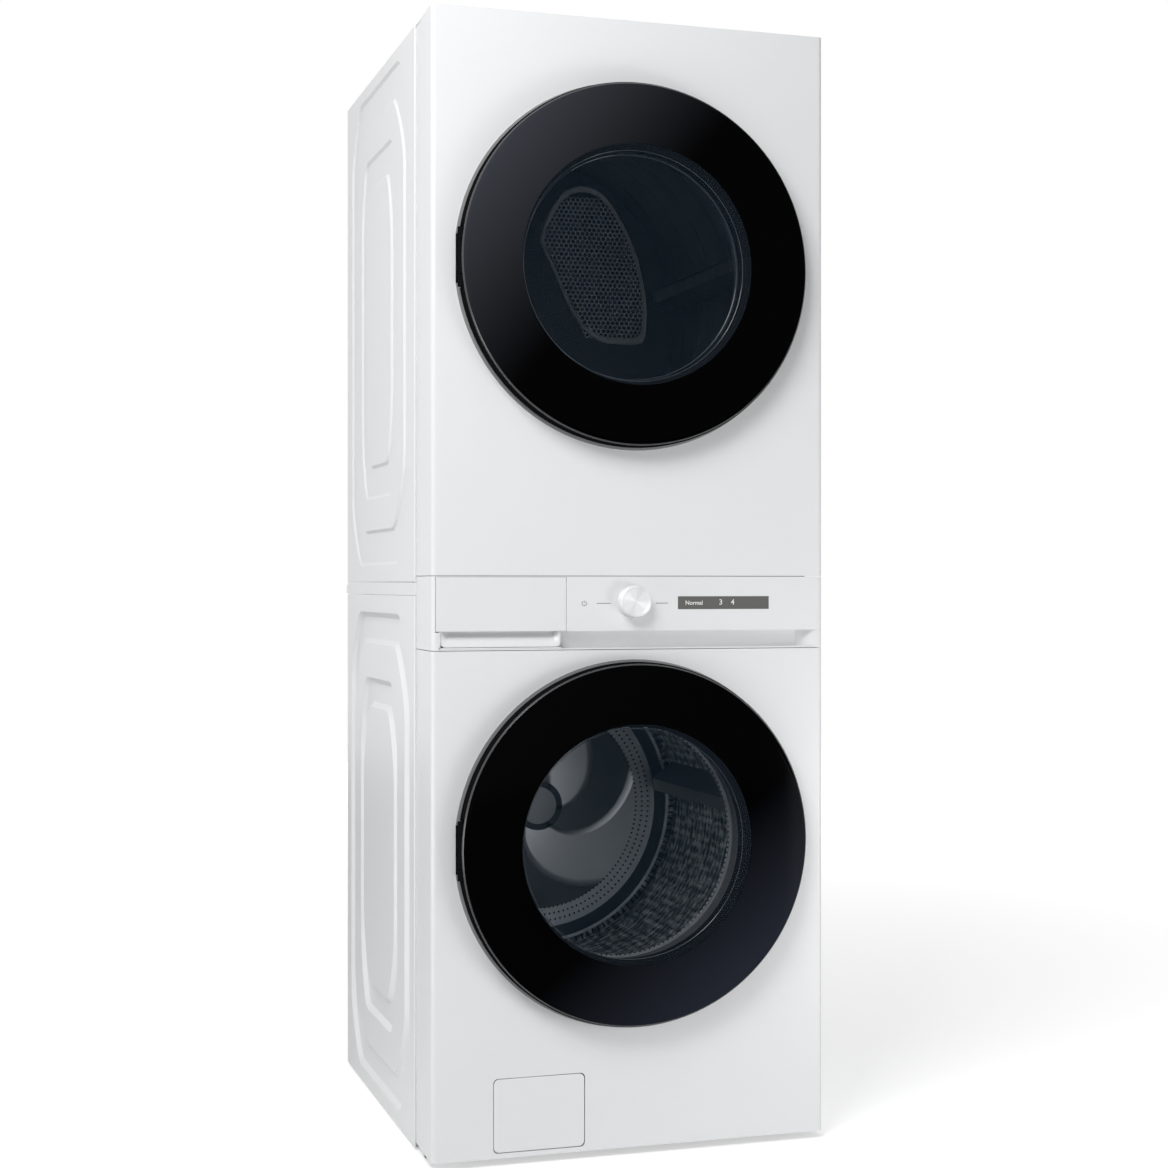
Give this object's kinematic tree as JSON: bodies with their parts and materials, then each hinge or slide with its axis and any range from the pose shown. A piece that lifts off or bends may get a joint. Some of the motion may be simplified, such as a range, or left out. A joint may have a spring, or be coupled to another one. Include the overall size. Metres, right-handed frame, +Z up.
{
  "type": "washer dryer stack",
  "caption": "Front-loading washer with a dryer above it in one tall white cabinet, with a console between two round black doors.",
  "frame": {"origin": "middle of the footprint, on the floor", "axes": "+X to the right seen from the front, +Y from the front to the back, +Z up"},
  "size_m": [0.686, 0.8, 1.889],
  "materials": {
    "white_enamel": "satin white enamel",
    "steel": "zinc plated or stainless sheet",
    "black_glass": "gloss black glass",
    "clear_glass": "tinted clear glass",
    "black_plastic": "black moulded plastic",
    "grey_plastic": "grey moulded plastic",
    "white_plastic": "white moulded plastic",
    "display": "dark display window",
    "knob_metal": "spun bright aluminium",
    "rubber": "grey rubber",
    "iron": "rough grey casting",
    "motor_shell": "die cast housing"
  },
  "bodies": {
    "cabinet": {"washer_side_left": "white_enamel", "washer_side_right": "white_enamel", "washer_front_panel": "white_enamel", "control_console": "white_enamel", "dryer_side_left": "white_enamel", "dryer_side_right": "white_enamel", "dryer_front_panel": "white_enamel", "top_cover": "white_enamel", "base_frame": "steel", "mid_deck": "steel", "washer_rear_panel": "steel", "dryer_rear_panel": "steel", "front_bulkhead": "steel", "rear_bulkhead": "steel", "hinge_brackets": "steel", "panel_screws": "steel", "tub_springs": "steel", "damper_cylinders": "steel", "idler_arm": "steel", "heater_duct": "steel", "exhaust_duct": "steel", "door_latches": "black_plastic", "terminal_cover": "black_plastic", "door_trim_rings": "grey_plastic", "inlet_valves": "grey_plastic", "drain_pump": "grey_plastic", "dispenser_housing": "white_plastic", "display_window": "display", "door_gasket": "rubber", "drive_belt": "rubber", "dryer_motor": "motor_shell"},
    "washer_door": {"washer_door_frame": "black_plastic", "washer_door_glass": "black_glass", "washer_door_bowl": "clear_glass", "washer_door_hinge": "steel"},
    "dryer_door": {"dryer_door_frame": "black_plastic", "dryer_door_glass": "black_glass", "dryer_door_window": "clear_glass", "dryer_door_hinge": "steel"},
    "detergent_drawer": {"drawer_front": "white_plastic", "drawer_tray": "white_plastic"},
    "cycle_knob": {"cycle_knob": "knob_metal"},
    "filter_door": {"filter_door": "white_plastic"},
    "filter_cap": {"pump_filter_cap": "grey_plastic"},
    "foot_front_left": {"foot_front_left": "rubber"},
    "foot_front_right": {"foot_front_right": "rubber"},
    "foot_rear_left": {"foot_rear_left": "rubber"},
    "foot_rear_right": {"foot_rear_right": "rubber"},
    "tub": {"washer_tub": "grey_plastic", "counterweight": "iron", "motor_stator": "grey_plastic"},
    "washer_drum": {"washer_drum": "steel", "drum_lifters": "grey_plastic", "drum_spider": "steel"},
    "dryer_drum": {"dryer_drum": "steel"},
    "dryer_rotor": {"motor_shaft": "steel"},
    "idler": {"idler_pulley": "grey_plastic"},
    "roller_left": {"drum_roller_left": "rubber"},
    "roller_right": {"drum_roller_right": "rubber"},
    "lint_filter": {"lint_filter": "grey_plastic"}
  },
  "joints": [
    {"name": "washer_door_hinge", "type": "hinge", "parent": "cabinet", "child": "washer_door", "pos_m": [-0.297, -0.385, 0.5195], "axis": [0, 0, -1], "range_deg": [0, 130]},
    {"name": "dryer_door_hinge", "type": "hinge", "parent": "cabinet", "child": "dryer_door", "pos_m": [-0.297, -0.385, 1.479], "axis": [0, 0, -1], "range_deg": [0, 130]},
    {"name": "drawer_slide", "type": "slide", "parent": "cabinet", "child": "detergent_drawer", "axis": [0, -1, 0], "range_m": [0, 0.25]},
    {"name": "knob_turn", "type": "hinge", "parent": "cabinet", "child": "cycle_knob", "pos_m": [0, -0.376, 0.922], "axis": [0, -1, 0], "continuous": true},
    {"name": "filter_door_hinge", "type": "hinge", "parent": "cabinet", "child": "filter_door", "pos_m": [-0.162, -0.36575, 0.0232], "axis": [1, 0, 0], "range_deg": [0, 90]},
    {"name": "filter_cap_turn", "type": "hinge", "parent": "cabinet", "child": "filter_cap", "pos_m": [-0.162, -0.352, 0.082], "axis": [0, 1, 0], "range_deg": [0, 90]},
    {"name": "tub_bounce", "type": "slide", "parent": "cabinet", "child": "tub", "axis": [0, 0, 1], "range_m": [-0.008, 0.008], "stiffness_N_per_m": 60000, "deforming": ["tub_springs", "door_gasket"]},
    {"name": "washer_drum_spin", "type": "hinge", "parent": "tub", "child": "washer_drum", "pos_m": [0, 0, 0.5195], "axis": [0, -1, 0], "continuous": true},
    {"name": "dryer_drum_spin", "type": "hinge", "parent": "cabinet", "child": "dryer_drum", "pos_m": [0, 0, 1.479], "axis": [0, -1, 0], "continuous": true},
    {"name": "rotor_spin", "type": "hinge", "parent": "cabinet", "child": "dryer_rotor", "pos_m": [-0.15, -0.1, 1.075], "axis": [0, -1, 0], "continuous": true},
    {"name": "idler_spin", "type": "hinge", "parent": "cabinet", "child": "idler", "pos_m": [-0.25, 0.017, 1.11], "axis": [0, -1, 0], "continuous": true},
    {"name": "roller_left_spin", "type": "hinge", "parent": "cabinet", "child": "roller_left", "pos_m": [-0.20557, 0.301, 1.18542], "axis": [0, -1, 0], "continuous": true},
    {"name": "roller_right_spin", "type": "hinge", "parent": "cabinet", "child": "roller_right", "pos_m": [0.20557, 0.301, 1.18542], "axis": [0, -1, 0], "continuous": true},
    {"name": "lint_filter_pull", "type": "slide", "parent": "cabinet", "child": "lint_filter", "axis": [0, 0, 1], "range_m": [0, 0.16]},
    {"name": "foot_front_left_screw", "type": "slide", "parent": "cabinet", "child": "foot_front_left", "axis": [0, 0, -1], "range_m": [0, 0.02]},
    {"name": "foot_front_right_screw", "type": "slide", "parent": "cabinet", "child": "foot_front_right", "axis": [0, 0, -1], "range_m": [0, 0.02]},
    {"name": "foot_rear_left_screw", "type": "slide", "parent": "cabinet", "child": "foot_rear_left", "axis": [0, 0, -1], "range_m": [0, 0.02]},
    {"name": "foot_rear_right_screw", "type": "slide", "parent": "cabinet", "child": "foot_rear_right", "axis": [0, 0, -1], "range_m": [0, 0.02]}
  ],
  "couplings": [
    {"joint": "rotor_spin", "follows": "dryer_drum_spin", "ratio": 25.839},
    {"joint": "idler_spin", "follows": "dryer_drum_spin", "ratio": 10.54},
    {"joint": "roller_left_spin", "follows": "dryer_drum_spin", "ratio": -8.4211},
    {"joint": "roller_right_spin", "follows": "dryer_drum_spin", "ratio": -8.4211}
  ]
}
